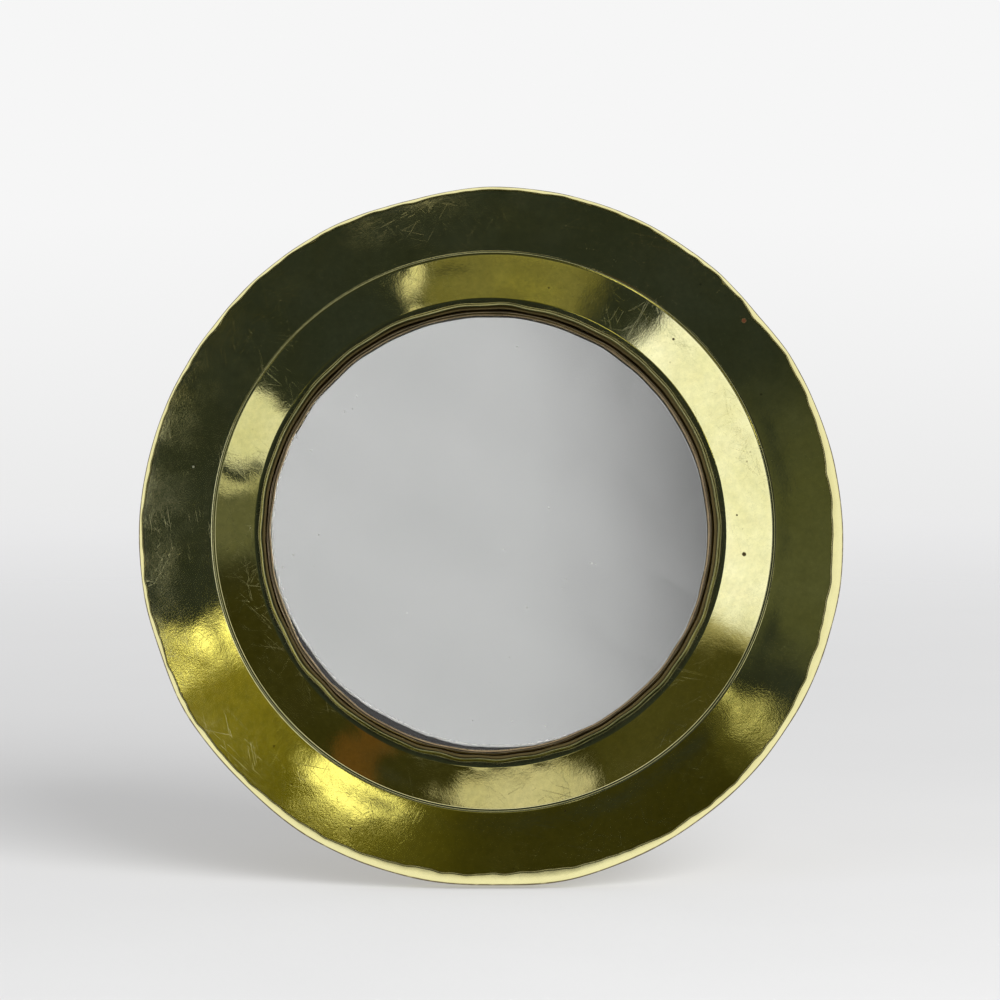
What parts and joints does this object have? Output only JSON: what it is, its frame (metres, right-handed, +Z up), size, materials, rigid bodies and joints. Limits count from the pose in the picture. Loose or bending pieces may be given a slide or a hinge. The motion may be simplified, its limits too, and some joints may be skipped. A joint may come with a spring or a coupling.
{
  "type": "hand mirror",
  "caption": "Round brass hand mirror with a raised ridge and sloping brim, standing on its rim and leaning back on a hinged wire bail behind.",
  "frame": {"origin": "centre of the footprint's bounding box, on the floor", "axes": "+Z up, the glass faces -Y and tips up by the mirror's lean, +X to the viewer's right; the bail stands open behind, towards +Y"},
  "size_m": [0.21, 0.0734, 0.2077],
  "materials": {
    "front_brass": "aged, burnished, satin",
    "pan_brass": "aged, burnished, satin",
    "bezel_brass": "tarnished",
    "mirror_glass": "clear, hand-cut",
    "tin_foil": "aged tin foil, ragged edge",
    "felt": "felt",
    "packing_wood": "raw",
    "board_wood": "raw",
    "tab_brass": "dull",
    "rim_iron": "dark iron wire",
    "bail_brass": "aged, burnished, satin",
    "strap_brass": "aged, burnished, satin",
    "rivet_copper": "copper rivets, dull"
  },
  "bodies": {
    "mirror": {"front_shell": "front_brass", "back_pan": "pan_brass", "bezel_ring": "bezel_brass", "glass": "mirror_glass", "silvering": "tin_foil", "felt_pad": "felt", "packing_ring": "packing_wood", "backing_board": "board_wood", "glass_tabs": "tab_brass", "rim_wire": "rim_iron", "bail_strap_left": "strap_brass", "bail_strap_right": "strap_brass", "rivets": "rivet_copper", "rivet_burrs": "rivet_copper"},
    "bail": {"bail": "bail_brass"}
  },
  "joints": [
    {"name": "bail_hinge", "type": "hinge", "parent": "mirror", "child": "bail", "pos_m": [0, 0.00623, 0.16327], "axis": [1, 0, 0], "range_deg": [-20, 0]}
  ]
}
